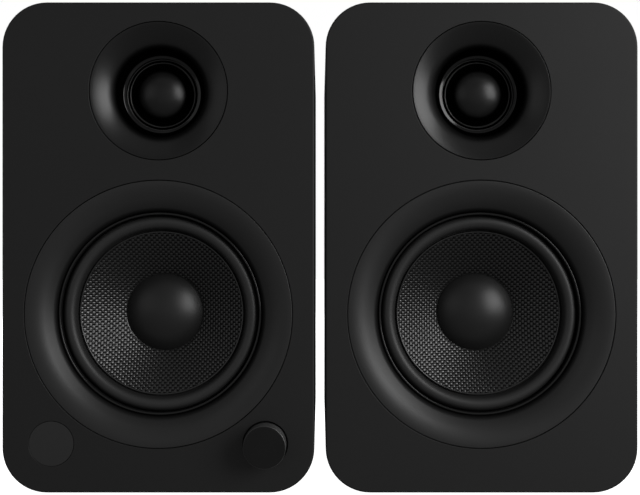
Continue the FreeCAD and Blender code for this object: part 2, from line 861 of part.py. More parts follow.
def line_in_pair():
    """Two line-in sockets in one housing behind the plate."""
    housing = block(30.0, 14.0, PLATE_BACK - 16.0, CABINET_D - 0.2, 27.0, POST_Z)
    barrels = [disc(4.15, CABINET_D - 1.0, PLATE_BACK + 9.0, x, z) for x, z in LINE_IN]
    collars = [disc(5.4, PLATE_BACK, PLATE_BACK + 1.0, x, z) for x, z in LINE_IN]
    body = join_all([housing, *barrels, *collars])
    bores = [disc(1.65, PLATE_BACK - 4.0, PLATE_BACK + 10.0, x, z) for x, z in LINE_IN]
    return cut_all(body, bores)


def aux_jack():
    """Threaded socket for a 3.5 mm plug."""
    housing = block(11.0, 11.0, PLATE_BACK - 16.0, CABINET_D - 0.2, *AUX)
    barrel = disc(2.9, CABINET_D - 1.0, PLATE_BACK + 1.2, *AUX)
    nut = tube(4.0, 2.9, PLATE_BACK, PLATE_BACK + 1.2, *AUX)
    bore = disc(1.78, PLATE_BACK - 13.0, PLATE_BACK + 2.0, *AUX)
    return join_all([housing, barrel, nut]).cut(bore)


def input_jacks():
    return Part.makeCompound([line_in_pair(), aux_jack()])


# ---- binding posts, on the plate and in the terminal cup -------------------------------


def post_bases(places, panel, behind):
    """Studs with their collars; each stud is bored for a 4 mm plug."""
    posts = []
    for x, z in places:
        collar = disc(POST_COLLAR_R, panel, panel + 3.0, x, z)
        washer = disc(4.5, panel - behind - 2.0, panel - behind, x, z)
        stud = disc(STUD_R, panel - behind - 8.0, panel + POST_REACH, x, z)
        post = join_all([collar, washer, stud])
        posts.append(post.cut(disc(BANANA_R, panel + 5.0, panel + POST_REACH + 1, x, z)))
    return Part.makeCompound(posts)


def post_cap(place_on_panel, panel):
    """Knurled nut that clamps a bare wire against the collar."""
    x, z = place_on_panel
    cap = tube(POST_CAP_R, STUD_R + 0.08, panel + 3.3, panel + POST_REACH - 0.4, x, z)
    flutes = 16
    flute_circle = POST_CAP_R + 0.3
    grooves = []
    for i in range(flutes):
        angle = 2 * math.pi * i / flutes
        groove_x = x + flute_circle * math.cos(angle)
        groove_z = z + flute_circle * math.sin(angle)
        grooves.append(disc(0.6, panel + 6.0, panel + POST_REACH + 1, groove_x, groove_z))
    return cut_all(cap, grooves)


def terminal_cup():
    """Square recessed dish in the passive speaker's back."""
    flange = rounded(CUP_W, CUP_W, 5.0, CABINET_D, PLATE_BACK, z=CUP_Z)
    room_w = CUP_DISH_W - 2 * CUP_WALL
    floor_back = CUP_FLOOR - CUP_WALL
    dish = rounded(CUP_DISH_W, CUP_DISH_W, 5.0, floor_back, CABINET_D, z=CUP_Z)
    room = rounded(room_w, room_w, 3.0, CUP_FLOOR, PLATE_BACK + 1, z=CUP_Z)
    cup = flange.fuse(dish).cut(room)
    holes = [disc(STUD_R + 0.1, CUP_FLOOR - 4, CUP_FLOOR + 1, x, z) for x, z in PASSIVE_POSTS]
    holes += [disc(CLEAR_R, CABINET_D - 1, PLATE_BACK + 1, x, z) for x, z in CUP_SCREWS]
    return cut_all(cup, holes).removeSplitter()


def crossover_board():
    """Filter board on the passive speaker's floor: coil, capacitors and resistor."""
    pillar = 4.0
    top = WALL + pillar + BOARD_T
    parts = [Part.makeBox(76.0, 56.0, BOARD_T, Vector(-38.0, CROSSOVER_FRONT, WALL + pillar))]
    for x in (-34.0, 22.0):
        parts.append(Part.makeBox(12.0, 6.0, 8.0, Vector(x, CROSSOVER_FRONT + 2.0, top)))
    for x, y in ((-33, 109), (33, 109), (-33, 155), (33, 155)):
        parts.append(Part.makeCylinder(2.5, pillar, Vector(x, y, WALL)))
    coil = Part.makeCylinder(15.0, 14.0, Vector(-15.0, 132.0, top))
    parts.append(coil.cut(Part.makeCylinder(6.0, 16.0, Vector(-15.0, 132.0, top - 1))))
    for y in (122.0, 142.0):
        parts.append(along_x(7.0, 24.0, 8.0, y, top + 7.0))
    parts.append(Part.makeBox(22.0, 7.0, 7.0, Vector(8.0, 150.0, top)))
    return Part.makeCompound(parts)


def lead_pair(route, lean):
    """Two insulated wires side by side along one route, set apart diagonally."""
    half = 1.1
    return [
        lead([(x + side * half, y, z + side * half * lean) for x, y, z in route])
        for side in (-1, 1)
    ]


def active_leads():
    start = AMP_BOARD_BACK - BOARD_T - 9.0
    to_woofer = [(-20.0, start, 98.0), (-20.0, 148.0, 98.0), (-46.0, 120.0, 80.0), WOOFER_TAB]
    to_tweeter = [
        (20.0, start, 98.0),
        (20.0, 148.0, 98.0),
        (34.0, 110.0, 140.0),
        (34.0, 70.0, 178.0),
        (8.0, 52.0, TWEETER_Z),
        TWEETER_TAB,
    ]
    return Part.makeCompound(lead_pair(to_woofer, 1) + lead_pair(to_tweeter, -1))


def passive_leads():
    start = CROSSOVER_FRONT + 2.0
    to_woofer = [
        (-28.0, start, 20.0),
        (-28.0, 94.0, 20.0),
        (-46.0, 72.0, 62.0),
        (-46.0, 52.0, 80.0),
        WOOFER_TAB,
    ]
    to_tweeter = [
        (28.0, start, 20.0),
        (28.0, 94.0, 20.0),
        (46.0, 70.0, 80.0),
        (46.0, 62.0, TWEETER_Z),
        (8.0, 56.0, TWEETER_Z),
        TWEETER_TAB,
    ]
    return Part.makeCompound(lead_pair(to_woofer, 1) + lead_pair(to_tweeter, 1))


# ---- one STEP file per node ------------------------------------------------------------


def driver_nodes():
    """What both speakers share."""
    return {
        "feet": feet(),
        "port_tube": port_tube(),
        "damping_pad": damping_pad(),
        "trim_ring": trim_ring(),
        "woofer_basket": basket(),
        "woofer_surround": surround(),
        "woofer_cone": cone(),
        "dust_cap": dust_cap(),
        "woofer_spider": spider(),
        "voice_coil": voice_coil(),
        "woofer_top_plate": top_plate(),
        "woofer_magnet": magnet(),
        "woofer_yoke": yoke(),
        "waveguide": waveguide(),
        "tweeter_motor": tweeter_motor(),
        "tweeter_dome": tweeter_dome(),
    }


def active_nodes():
    red, black = ACTIVE_POSTS
    return {
        "volume_knob": volume_knob(),
        "encoder_shaft": encoder_shaft(),
        "encoder_rotor": encoder_rotor(),
        "control_board": control_board(),
        "ir_window": ir_window(),
        "amp_plate": amp_plate(),
        "amp_board": amp_board(),
        "transformer": transformer(),
        "power_switch_frame": power_switch_frame(),
        "power_rocker": power_rocker(),
        "ac_inlet": ac_inlet(),
        "input_jacks": input_jacks(),
        "active_leads": active_leads(),
        "active_post_bases": post_bases(ACTIVE_POSTS, PLATE_BACK, PLATE_T),
        "active_post_cap_red": post_cap(red, PLATE_BACK),
        "active_post_cap_black": post_cap(black, PLATE_BACK),
    }


def passive_nodes():
    red, black = PASSIVE_POSTS
    return {
        "terminal_cup": terminal_cup(),
        "crossover_board": crossover_board(),
        "passive_leads": passive_leads(),
        "passive_post_bases": post_bases(PASSIVE_POSTS, CUP_FLOOR, CUP_WALL),
        "passive_post_cap_red": post_cap(red, CUP_FLOOR),
        "passive_post_cap_black": post_cap(black, CUP_FLOOR),
    }


def main():
    os.makedirs("parts", exist_ok=True)
    shared = driver_nodes()
    for name, side, own in (
        ("active", ACTIVE, active_nodes()),
        ("passive", PASSIVE, passive_nodes()),
    ):
        is_active = side == ACTIVE
        write(f"{name}_cabinet", place(cabinet(is_active), side))
        write(f"{name}_back_panel", place(back_panel(is_active), side))
        write(f"{name}_screws", place(screws(is_active), side))
        for node, shape in shared.items():
            write(f"{name}_{node}", place(shape, side))
        for node, shape in own.items():
            write(node, place(shape, side))


main()
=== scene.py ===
"""Looks of a pair of powered desktop speakers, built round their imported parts.

Lengths are millimetres in each piece's own section, and metres once they are placed.
A turned piece is drawn as (radius, depth behind the baffle) and turned about its driver.
"""

import math

import bpy
import numpy as np
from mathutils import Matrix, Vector

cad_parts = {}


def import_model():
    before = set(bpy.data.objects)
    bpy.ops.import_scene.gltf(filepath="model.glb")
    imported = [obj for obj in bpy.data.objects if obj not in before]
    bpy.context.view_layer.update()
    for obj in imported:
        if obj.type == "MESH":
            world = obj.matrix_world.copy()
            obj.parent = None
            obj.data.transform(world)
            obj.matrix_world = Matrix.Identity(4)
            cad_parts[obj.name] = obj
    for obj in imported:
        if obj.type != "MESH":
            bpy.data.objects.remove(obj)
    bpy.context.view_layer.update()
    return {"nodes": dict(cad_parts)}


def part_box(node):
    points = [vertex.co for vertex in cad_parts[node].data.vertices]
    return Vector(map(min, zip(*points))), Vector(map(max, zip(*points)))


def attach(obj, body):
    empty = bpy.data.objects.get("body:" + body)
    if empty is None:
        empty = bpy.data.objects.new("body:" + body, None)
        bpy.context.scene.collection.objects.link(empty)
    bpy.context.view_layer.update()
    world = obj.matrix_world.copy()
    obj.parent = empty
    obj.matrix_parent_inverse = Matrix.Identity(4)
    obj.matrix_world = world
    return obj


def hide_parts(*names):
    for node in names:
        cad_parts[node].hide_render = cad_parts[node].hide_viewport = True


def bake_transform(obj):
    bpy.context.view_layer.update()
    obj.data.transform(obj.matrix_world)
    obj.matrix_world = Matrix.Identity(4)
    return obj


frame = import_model()

MM = 0.001
AXIS_R = 0.02  # how near a turned outline comes to its axis

# ---- view ------------------------------------------------------------------------------

CAMERA_DISTANCE = 0.5602  # in front of the baffles
CAMERA_HEIGHT = 0.1111
CAMERA_LENS = 70.3
CAMERA_SENSOR = 36.0
CAMERA_SHIFT = 0.0031

# ---- woofer ----------------------------------------------------------------------------

SEGMENTS = 288  # of a large turned piece
SMALL_SEGMENTS = 192
DOME_SEGMENTS = 160
TRIM_R = 60.0
TRIM_RIM = 3.0  # thickness of the trim ring at its outer edge
TRIM_SPIGOT_R = 57.0  # of the part that stands in the cabinet's cut-out
TRIM_SPIGOT_DEPTH = 9.6
TRIM_UPPER_RADIUS = 17.0  # of the trumpet, from the baffle down to its slope
TRIM_UPPER_SLOPE = 30.0
TRIM_LOWER_RADIUS = 4.7  # of the trumpet, from its slope to the throat
TRIM_LOWER_SLOPE = 31.0
TRIM_THROAT_R = 46.0
TRIM_BACK = 11.75
TRIM_EDGE = 0.3  # how far the outer edge is broken
ROLL_R = 41.5  # middle of the surround's half roll
ROLL_HALF = 2.9
ROLL_CROWN = 7.4
LIP_OUTER_R = 45.9
LIP_INNER_R = 44.9
LIP_CROWN = 5.8
LIP_RADIUS = 0.5
LIP_FILLET = 0.3
CLAMP_R = 49.4  # outer edge of the surround, under the trim ring
RUBBER_T = 0.8
CONE_R = 37.6
CONE_DEPTH = 12.5
CONE_SLOPE = 0.644
CONE_T = 0.95
CONE_NECK_R = 13.4
RIM_RADIUS = 0.42  # of the cone's rolled rim
CAP_R = 17.8
CAP_HEIGHT = 7.0
CAP_T = 0.6
CAP_EDGE = 0.25
THREAD_PITCH_X = 1.22
THREAD_PITCH_Z = 1.08
THREAD_HALF = 0.48  # half a thread's width, as a share of the pitch
THREAD_WAVE = 0.13  # how far a thread rises and falls
THREAD_ROUND = 0.13  # how far its middle stands over its sides
THREAD_GAP = -0.3  # level between two threads, as a share of THREAD_ROUND
GRID_PER_THREAD = 6

# ---- tweeter ---------------------------------------------------------------------------

GUIDE_R = 30.9
GUIDE_RIM = 4.0  # thickness of the waveguide at its outer edge
GUIDE_EDGE = 0.25
GUIDE_OUTER_RADIUS = 33.0  # of the horn's profile, from the baffle to its middle
GUIDE_INNER_RADIUS = 13.7  # from its middle to the throat
GUIDE_SLOPES = (18, 30, 75)  # at the rim, the middle and the throat
GUIDE_SPIGOT_R = 26.8  # of the part that stands in the cabinet's hole
GUIDE_BOSS_R = 22.5
GUIDE_THROAT = (18.1, 13.5)  # where the horn turns into its foot
GUIDE_FOOT_R = 16.6
GUIDE_BACK = 18.6
DOME_R = 12.5
DOME_DEPTH = 16.4
DOME_HEIGHT = 5.0
DOME_COAT_AND_SHADE_R = 9.8  # inside it the dome's coat is whole; outside it the dome fades to painted shade, a black that reflects nothing
FORMER_HALF_T = 0.25
FORMER_BACK = 26.0
ROLL_WIDTH = 1.8  # of the dome's own small roll
ROLL_RADIUS = 2.4
RING_OUTER_R = 16.4
RING_INNER_R = 14.7
RING_DEPTH = 16.6
BEAD_RADIUS = 0.16  # of the fine bead along each edge of the clamping ring
POLE_R = 11.9
POLE_DEPTH = 20.2
GAP_R = 13.15  # outer wall of the coil's gap
GAP_BACK = 28.0
GAP_FRONT = 20.7
MOTOR_R = 20.5
MOTOR_BACK = 37.0
PLATE_R = 24.0
PLATE_BACK = 21.0

# ---- knob ------------------------------------------------------------------------------

KNOB_R = 9.45
KNOB_REACH = 11.5
KNOB_BACK = 3.8
KNOB_WALL = 1.6
KNOB_FACE_T = 3.2
KNOB_HUB_R = 5.0
KNOB_HUB_BACK = 2.0
KNOB_BORE_R = 3.05
KNOB_BORE_END = -7.4
RIB_PITCH = 0.5
RIB_HEIGHT = 0.22
RIB_STEPS = 8

# ---- finishes --------------------------------------------------------------------------

# Black that reflects nothing, painted where shade falls: painted shade
PAINTED_SHADE_BLACK = (0.0004, 0.0004, 0.0004, 1)
POLISHED_ROUGHNESS = 0.12
WAVES_PER_SCALE = 20 / (2 * math.pi)  # of a wave texture whose scale is 1, in each metre

# ---- light -----------------------------------------------------------------------------

ROOM_STRENGTH = 0.16
FLOOR_HALF = 4.0
LIGHT_AIM_HEIGHT = 0.11
SOFTBOXES = (  # name, direction seen from the speakers, distance, size and power
    ("key", (0.736, -0.613, 0.30), 1.22, (0.7, 0.75), 7.8),
    ("front_fill", (0.0, -1.0, 0.12), 1.6, (1.2, 1.2), 0.5),
    ("left_fill", (-0.7, -0.65, 0.25), 1.3, (0.8, 0.8), 0.6),
    ("top", (0.1, -0.35, 0.93), 0.7, (0.8, 0.5), 0.12),
    ("rear_fill", (-0.3, 1.0, 0.4), 1.5, (1.0, 1.0), 9.0),
)


# ---- mesh helpers ----------------------------------------------------------------------


def centre(node):
    """Middle of a CAD node, seen from the front, as (x, z)."""
    low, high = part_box(node)
    return (low.x + high.x) / 2, (low.z + high.z) / 2


BAFFLE_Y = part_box("active_trim_ring")[0].y
SIDES = ("active", "passive")
WOOFER = {side: centre(f"{side}_trim_ring") for side in SIDES}
TWEETER = {side: centre(f"{side}_waveguide") for side in SIDES}
KNOB = centre("volume_knob")


def new_piece(name, points, faces, sharp_degrees=35.0):
    """A smooth-shaded mesh object, with an edge wherever two faces meet sharply."""
    mesh = bpy.data.meshes.new(name)
    mesh.from_pydata(points, [], faces)
    mesh.validate()
    mesh.shade_smooth()
    mesh.set_sharp_from_angle(angle=math.radians(sharp_degrees))
    piece = bpy.data.objects.new(name, mesh)
    bpy.context.scene.collection.objects.link(piece)
    return piece


def arc(middle, radius, start, end, steps=10):
    """Points on an arc, from one angle to another in degrees. 0 is outward and 90 is back."""
    points = []
    for i in range(steps + 1):
        angle = math.radians(start + (end - start) * i / steps)
        r = middle[0] + radius * math.cos(angle)
        depth = middle[1] + radius * math.sin(angle)
        points.append((r, depth))
    return points


def bend(start, radius, slope_from, slope_to, steps=24):
    """An arc that runs inward and backward while its slope changes, without its start."""
    first = math.radians(slope_from)
    points = []
    for i in range(1, steps + 1):
        slope = first + math.radians(slope_to - slope_from) * i / steps
        inward = radius * (math.sin(slope) - math.sin(first))
        back = radius * (math.cos(first) - math.cos(slope))
        points.append((start[0] - inward, start[1] + back))
    return points


def eased(corner, before, after, radius, steps=4):
    """A corner of an outline, rounded off between the points before and after it."""
    corner = Vector(corner)
    arriving = (corner - Vector(before)).normalized()
    leaving = (Vector(after) - corner).normalized()
    half_turn = arriving.angle(leaving) / 2
    trim = radius * math.tan(half_turn)
    start = corner - arriving * trim
    end = corner + leaving * trim
    points = []
    for i in range(steps + 1):
        share = i / steps
        near = start.lerp(corner, share)
        far = corner.lerp(end, share)
        points.append(tuple(near.lerp(far, share)))
    return points


def ring_mesh(outline, middle, segments=SEGMENTS, first=0):
    """Points and quads of a closed (radius, depth) outline, turned about middle."""
    r, depth = (np.array(v) * MM for v in zip(*outline))
    angle = np.linspace(0, 2 * np.pi, segments, endpoint=False)
    x = middle[0] + np.outer(r, np.cos(angle))
    z = middle[1] + np.outer(r, np.sin(angle))
    y = np.repeat(BAFFLE_Y + depth, segments).reshape(len(r), segments)
    points = np.stack([x, y, z], axis=2).reshape(-1, 3)
    faces = []
    for i in range(len(r)):
        here = i * segments
        after = (i + 1) % len(r) * segments
        for j in range(segments):
            k = (j + 1) % segments
            quad = (here + j, here + k, after + k, after + j)
            faces.append(tuple(first + corner for corner in quad))
    return points.tolist(), faces


def turned(name, outline, middle, segments=SEGMENTS, sharp_degrees=35.0):
    """A piece turned from a closed (radius, depth) outline about a driver's middle."""
    points, faces = ring_mesh(outline, middle, segments)
    return new_piece(name, points, faces, sharp_degrees)


def marked(piece, mark, middle, *levels):
    """Marks every point with a level, from (radius, level) pairs in order of radius."""
    flat = np.zeros(len(piece.data.vertices) * 3)
    piece.data.vertices.foreach_get("co", flat)
    points = flat.reshape(-1, 3)
    r = np.hypot(points[:, 0] - middle[0], points[:, 2] - middle[1]) / MM
    attribute = piece.data.attributes.new(mark, "FLOAT", "POINT")
    attribute.data.foreach_set("value", np.interp(r, *zip(*levels)))


def finished(piece, body, slot, replaces):
    """Gives a piece its material, the body it moves with and the nodes it stands for."""
    piece.data.materials.append(FINISHES[slot])
    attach(piece, body)
    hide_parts(*replaces)


# ---- materials -------------------------------------------------------------------------


SOCKETS = {
    "metallic": "Metallic",
    "roughness": "Roughness",
    "emission": "Emission Color",
    "emission_strength": "Emission Strength",
}


class Recipe:
    """A material's node tree, built link by link."""

    def __init__(self, name):
        self.material = bpy.data.materials.new(name)
        self.material.use_nodes = True
        self.tree = self.material.node_tree
        self.shader = self.tree.nodes["Principled BSDF"]
        self.place = self.add("ShaderNodeTexCoord").outputs["Object"]

    def add(self, kind, **settings):
        """A new node of a kind, with its own settings."""
        node = self.tree.nodes.new(kind)
        for key, value in settings.items():
            setattr(node, key, value)
        return node

    def link(self, output, socket):
        """Joins an output to an input socket."""
        self.tree.links.new(output, socket)

    def stretched(self, scale):
        """Places on the surface, scaled along each axis."""
        mapping = self.add("ShaderNodeMapping")
        mapping.inputs["Scale"].default_value = scale
        self.link(self.place, mapping.inputs["Vector"])
        return mapping.outputs["Vector"]

    def noise(self, size, detail=3.0, stretch=None):
        """Cloudy values from 0 to 1, whose lumps are about size millimetres."""
        node = self.add("ShaderNodeTexNoise")
        node.inputs["Scale"].default_value = 1 / (size * MM)
        node.inputs["Detail"].default_value = detail
        self.link(self.stretched(stretch) if stretch else self.place, node.inputs["Vector"])
        return node.outputs["Fac"]

    def waves(self, pitch, direction):
        """Bands across a direction, one every pitch millimetres."""
        node = self.add("ShaderNodeTexWave", bands_direction=direction)
        node.inputs["Scale"].default_value = 1 / (pitch * MM) / WAVES_PER_SCALE
        self.link(self.place, node.inputs["Vector"])
        return node.outputs["Fac"]

    def between(self, values, low, high):
        """Values of about 0.3 to 0.7 spread from low to high."""
        node = self.add("ShaderNodeMapRange")
        node.inputs["From Min"].default_value = 0.3
        node.inputs["From Max"].default_value = 0.7
        node.inputs["To Min"].default_value = low
        node.inputs["To Max"].default_value = high
        self.link(values, node.inputs["Value"])
        return node.outputs["Result"]

    def blend(self, values, first, second):
        """A colour between two, which follows the values."""
        node = self.add("ShaderNodeMix", data_type="RGBA")
        node.inputs["A"].default_value = (*first, 1)
        node.inputs["B"].default_value = (*second, 1)
        self.link(values, node.inputs["Factor"])
        return node.outputs["Result"]

    def colour(self, output):
        """Makes an output the surface's own colour."""
        self.link(output, self.shader.inputs["Base Color"])

    def rough(self, values, low, high):
        """Lets the roughness follow the values, from low to high."""
        self.link(self.between(values, low, high), self.shader.inputs["Roughness"])

    def relief(self, values, depth):
        """Raises the surface by depth millimetres where the values are high."""
        bump = self.add("ShaderNodeBump")
        bump.inputs["Distance"].default_value = depth * MM
        self.link(values, bump.inputs["Height"])
        self.link(bump.outputs["Normal"], self.shader.inputs["Normal"])

    def fade_to_painted_shade(self, colours, specular):
        """Fades a finish to a black that throws nothing back where its painted-shade mark is
        high: painted shade standing in for the shade in throats, grooves and edges.
        """
        painted_shade = self.add("ShaderNodeAttribute", attribute_name="painted_shade").outputs["Fac"]
        tone = self.add("ShaderNodeMix", data_type="RGBA")
        tone.inputs["B"].default_value = PAINTED_SHADE_BLACK
        self.link(painted_shade, tone.inputs["Factor"])
        self.link(colours, tone.inputs["A"])
        self.colour(tone.outputs["Result"])
        sheen = self.add("ShaderNodeMapRange")
        sheen.inputs["To Min"].default_value = specular
        sheen.inputs["To Max"].default_value = 0.0
        self.link(painted_shade, sheen.inputs["Value"])
        self.link(sheen.outputs["Result"], self.shader.inputs["Specular IOR Level"])

    def fixed(self, **values):
        """Sets sockets that are the same all over the surface."""
        for key, value in values.items():
            self.shader.inputs[SOCKETS[key]].default_value = value
        return self.material


def grey(value):
    """A neutral colour."""
    return (value, value, value)


def moulded(name, shade, roughness, depth=0.012):
    """Spark-eroded plastic: a fine even grain and faint flow marks."""
    recipe = Recipe(name)
    flow = recipe.noise(18.0, 2.0, (1, 1, 0.5))
    texture = recipe.noise(0.35, 2.0)
    recipe.colour(recipe.blend(flow, grey(shade * 0.9), grey(shade * 1.1)))
    recipe.rough(texture, roughness - 0.03, roughness + 0.03)
    recipe.relief(texture, depth)
    return recipe.material


def coloured(name, colour, roughness):
    """Glossy moulded plastic in a colour, with faint flow marks."""
    recipe = Recipe(name)
    texture = recipe.noise(0.35, 2.0)
    dark = tuple(c * 0.85 for c in colour)
    recipe.colour(recipe.blend(recipe.noise(12.0, 2.0), dark, colour))
    recipe.rough(texture, roughness - 0.03, roughness + 0.03)
    recipe.relief(texture, 0.004)
    return recipe.material


def painted(name, shade, roughness):
    """Sprayed satin paint: a fine orange peel over a faint drift of tone."""
    recipe = Recipe(name)
    peel = recipe.noise(1.4, 1.0)
    pigment = recipe.noise(0.25, 2.0)
    recipe.colour(recipe.blend(pigment, grey(shade * 0.94), grey(shade * 1.06)))
    recipe.rough(recipe.noise(26.0, 2.0), roughness - 0.02, roughness + 0.02)
    recipe.relief(peel, 0.004)
    return recipe.material


def rubbery(name, shade, roughness):
    """Moulded rubber with a dry bloom in cloudy patches."""
    recipe = Recipe(name)
    bloom = recipe.noise(9.0, 3.0)
    skin = recipe.noise(0.5, 2.0)
    recipe.colour(recipe.blend(bloom, grey(shade * 0.88), grey(shade * 1.12)))
    recipe.rough(bloom, roughness - 0.04, roughness + 0.04)
    recipe.relief(skin, 0.01)
    return recipe.material


def metal(name, colour, roughness, stretch=(1, 1, 1)):
    """Plated or bare metal with a drawn grain and small differences in polish."""
    recipe = Recipe(name)
    lines = recipe.noise(0.5, 3.0, stretch)
    dark = tuple(c * 0.85 for c in colour)
    recipe.colour(recipe.blend(recipe.noise(6.0), dark, colour))
    recipe.rough(lines, roughness - 0.06, roughness + 0.06)
    recipe.relief(lines, 0.004)
    return recipe.fixed(metallic=1.0)


def woven_threads(name):
    """Glass threads: glossy ones upright, dull ones across, with filaments along each."""
    recipe = Recipe(name)
    along_z = recipe.noise(0.16, 2.0, (1, 1, 0.08))
    along_x = recipe.noise(0.16, 2.0, (0.08, 1, 1))
    upright = recipe.add("ShaderNodeAttribute", attribute_name="warp").outputs["Fac"]
    pick = recipe.add("ShaderNodeMix", data_type="FLOAT")
    recipe.link(upright, pick.inputs["Factor"])
    recipe.link(along_x, pick.inputs["A"])
    recipe.link(along_z, pick.inputs["B"])
    filaments = pick.outputs["Result"]
    recipe.colour(recipe.blend(filaments, grey(0.005), grey(0.010)))
    recipe.relief(filaments, 0.005)
    levels = (("Roughness", 0.5, 0.29), ("Specular IOR Level", 0.06, 1.0))
    for socket, across, up in levels:
        level = recipe.add("ShaderNodeMapRange")
        level.inputs["To Min"].default_value = across
        level.inputs["To Max"].default_value = up
        recipe.link(upright, level.inputs["Value"])
        recipe.link(level.outputs["Result"], recipe.shader.inputs[socket])
    return recipe.material


def silk(name):
    """Fine silk with a tacky damping coat over it; round its edge, bare of coat, it fades to a
    black that reflects nothing, a painted shade.
    """
    recipe = Recipe(name)
    threads = recipe.add("ShaderNodeMath", operation="MAXIMUM")
    recipe.link(recipe.waves(0.22, "X"), threads.inputs[0])
    recipe.link(recipe.waves(0.22, "Z"), threads.inputs[1])
    tone = recipe.blend(recipe.noise(2.5), grey(0.007), grey(0.010))
    recipe.fade_to_painted_shade(tone, specular=0.42)
    recipe.rough(recipe.noise(1.2), 0.30, 0.37)
    recipe.relief(threads.outputs["Value"], 0.004)
    return recipe.material


def part_painted_shade(name, shade, roughness, specular, depth=0.006, **values):
    """Satin finish: painted shade, a black that reflects nothing, where its painted-shade mark
    is high, and glossy where its polish mark is.
    """
    recipe = Recipe(name)
    texture = recipe.noise(0.35, 2.0)
    flow = recipe.noise(18.0, 2.0)
    recipe.fade_to_painted_shade(recipe.blend(flow, grey(shade * 0.88), grey(shade * 1.12)), specular)
    gloss = recipe.add("ShaderNodeMix", data_type="FLOAT")
    gloss.inputs["B"].default_value = POLISHED_ROUGHNESS
    polish = recipe.add("ShaderNodeAttribute", attribute_name="polish").outputs["Fac"]
    recipe.link(polish, gloss.inputs["Factor"])
    satin = recipe.between(texture, roughness - 0.025, roughness + 0.025)
    recipe.link(satin, gloss.inputs["A"])
    recipe.link(gloss.outputs["Result"], recipe.shader.inputs["Roughness"])
    recipe.relief(texture, depth)
    return recipe.fixed(**values)


def copper_winding(name):
    """Enamelled wire, turn beside turn, along the coil."""
    recipe = Recipe(name)
    turns = recipe.waves(0.3, "Y")
    recipe.colour(recipe.blend(turns, (0.30, 0.11, 0.05), (0.72, 0.35, 0.18)))
    recipe.rough(recipe.noise(1.0), 0.25, 0.35)
    recipe.relief(turns, 0.03)
    return recipe.fixed(metallic=1.0)


def cloth(name, first, second, pitch):
    """Open woven cloth, stiffened or loose."""
    recipe = Recipe(name)
    threads = recipe.add("ShaderNodeMath", operation="MULTIPLY")
    recipe.link(recipe.waves(pitch, "X"), threads.inputs[0])
    recipe.link(recipe.waves(pitch, "Z"), threads.inputs[1])
    recipe.colour(recipe.blend(threads.outputs["Value"], first, second))
    recipe.rough(recipe.noise(2.0), 0.75, 0.9)
    recipe.relief(threads.outputs["Value"], 0.1)
    return recipe.material


def wadding(name):
    """Fluffy fibre, in tangled lumps."""
    recipe = Recipe(name)
    lumps = recipe.noise(7.0, 8.0)
    recipe.colour(recipe.blend(lumps, grey(0.55), grey(0.85)))
    recipe.rough(lumps, 0.85, 1.0)
    recipe.relief(recipe.noise(1.2, 6.0), 0.6)
    return recipe.material


def circuit_board(name):
    """Green lacquer over traces that show as slightly raised cells."""
    recipe = Recipe(name)
    cells = recipe.add("ShaderNodeTexVoronoi", distance="MANHATTAN", feature="F1")
    cells.inputs["Scale"].default_value = 1 / (3.0 * MM)
    recipe.link(recipe.place, cells.inputs["Vector"])
    traces = cells.outputs["Distance"]
    recipe.colour(recipe.blend(traces, (0.02, 0.10, 0.04), (0.05, 0.22, 0.09)))
    recipe.rough(recipe.noise(4.0), 0.3, 0.4)
    recipe.relief(traces, 0.03)
    return recipe.material


def ferrite(name):
    """Sintered ceramic with small pits."""
    recipe = Recipe(name)
    pits = recipe.noise(0.8, 6.0)
    recipe.colour(recipe.blend(pits, grey(0.045), grey(0.09)))
    recipe.rough(pits, 0.6, 0.8)
    recipe.relief(pits, 0.05)
    return recipe.material


FINISHES = {
    "cabinet_finish": painted("cabinet_finish", 0.007, 0.55),
    "trim_plastic": part_painted_shade("trim_plastic", 0.0185, 0.42, 0.5, 0.012),
    "waveguide_plastic": part_painted_shade("waveguide_plastic", 0.005, 0.32, 0.5),
    "black_plastic": moulded("black_plastic", 0.014, 0.42),
    "window_plastic": moulded("window_plastic", 0.024, 0.20, depth=0.001),
    "cap_plastic": moulded("cap_plastic", 0.012, 0.40),
    "woven_cone": woven_threads("woven_cone"),
    "surround_rubber": part_painted_shade("surround_rubber", 0.024, 0.48, 0.5, 0.01),
    "rubber": rubbery("rubber", 0.016, 0.7),
    "dome_silk": silk("dome_silk"),
    "spider_cloth": cloth("spider_cloth", (0.30, 0.20, 0.08), (0.55, 0.42, 0.22), 0.8),
    "wadding": wadding("wadding"),
    "basket_paint": painted("basket_paint", 0.012, 0.45),
    "plate_paint": painted("plate_paint", 0.016, 0.5),
    "knob_metal": part_painted_shade("knob_metal", 0.3, 0.44, 0.5, 0.002, metallic=1.0),
    "plated_steel": metal("plated_steel", (0.60, 0.60, 0.62), 0.35),
    "core_steel": metal("core_steel", (0.16, 0.16, 0.17), 0.5, stretch=(1, 1, 8)),
    "black_screw": metal("black_screw", (0.05, 0.05, 0.052), 0.4),
    "ferrite": ferrite("ferrite"),
    "motor_black": part_painted_shade("motor_black", 0.03, 0.30, 1.0),
    "copper": copper_winding("copper"),
    "gilt_brass": metal("gilt_brass", (0.80, 0.60, 0.26), 0.22),
    "circuit_board": circuit_board("circuit_board"),
    "lead_insulation": moulded("lead_insulation", 0.05, 0.45),
    "red_plastic": coloured("red_plastic", (0.45, 0.012, 0.010), 0.3),
    "black_gloss": moulded("black_gloss", 0.012, 0.22, depth=0.002),
    "jack_plastic": moulded("jack_plastic", 0.016, 0.4),
}


def dress_nodes():
    """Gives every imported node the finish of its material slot."""
    for node in frame["nodes"].values():
        for slot in node.material_slots:
            slot.material = FINISHES[slot.material.name.split(".")[0]]


# ---- woofer pieces ---------------------------------------------------------------------


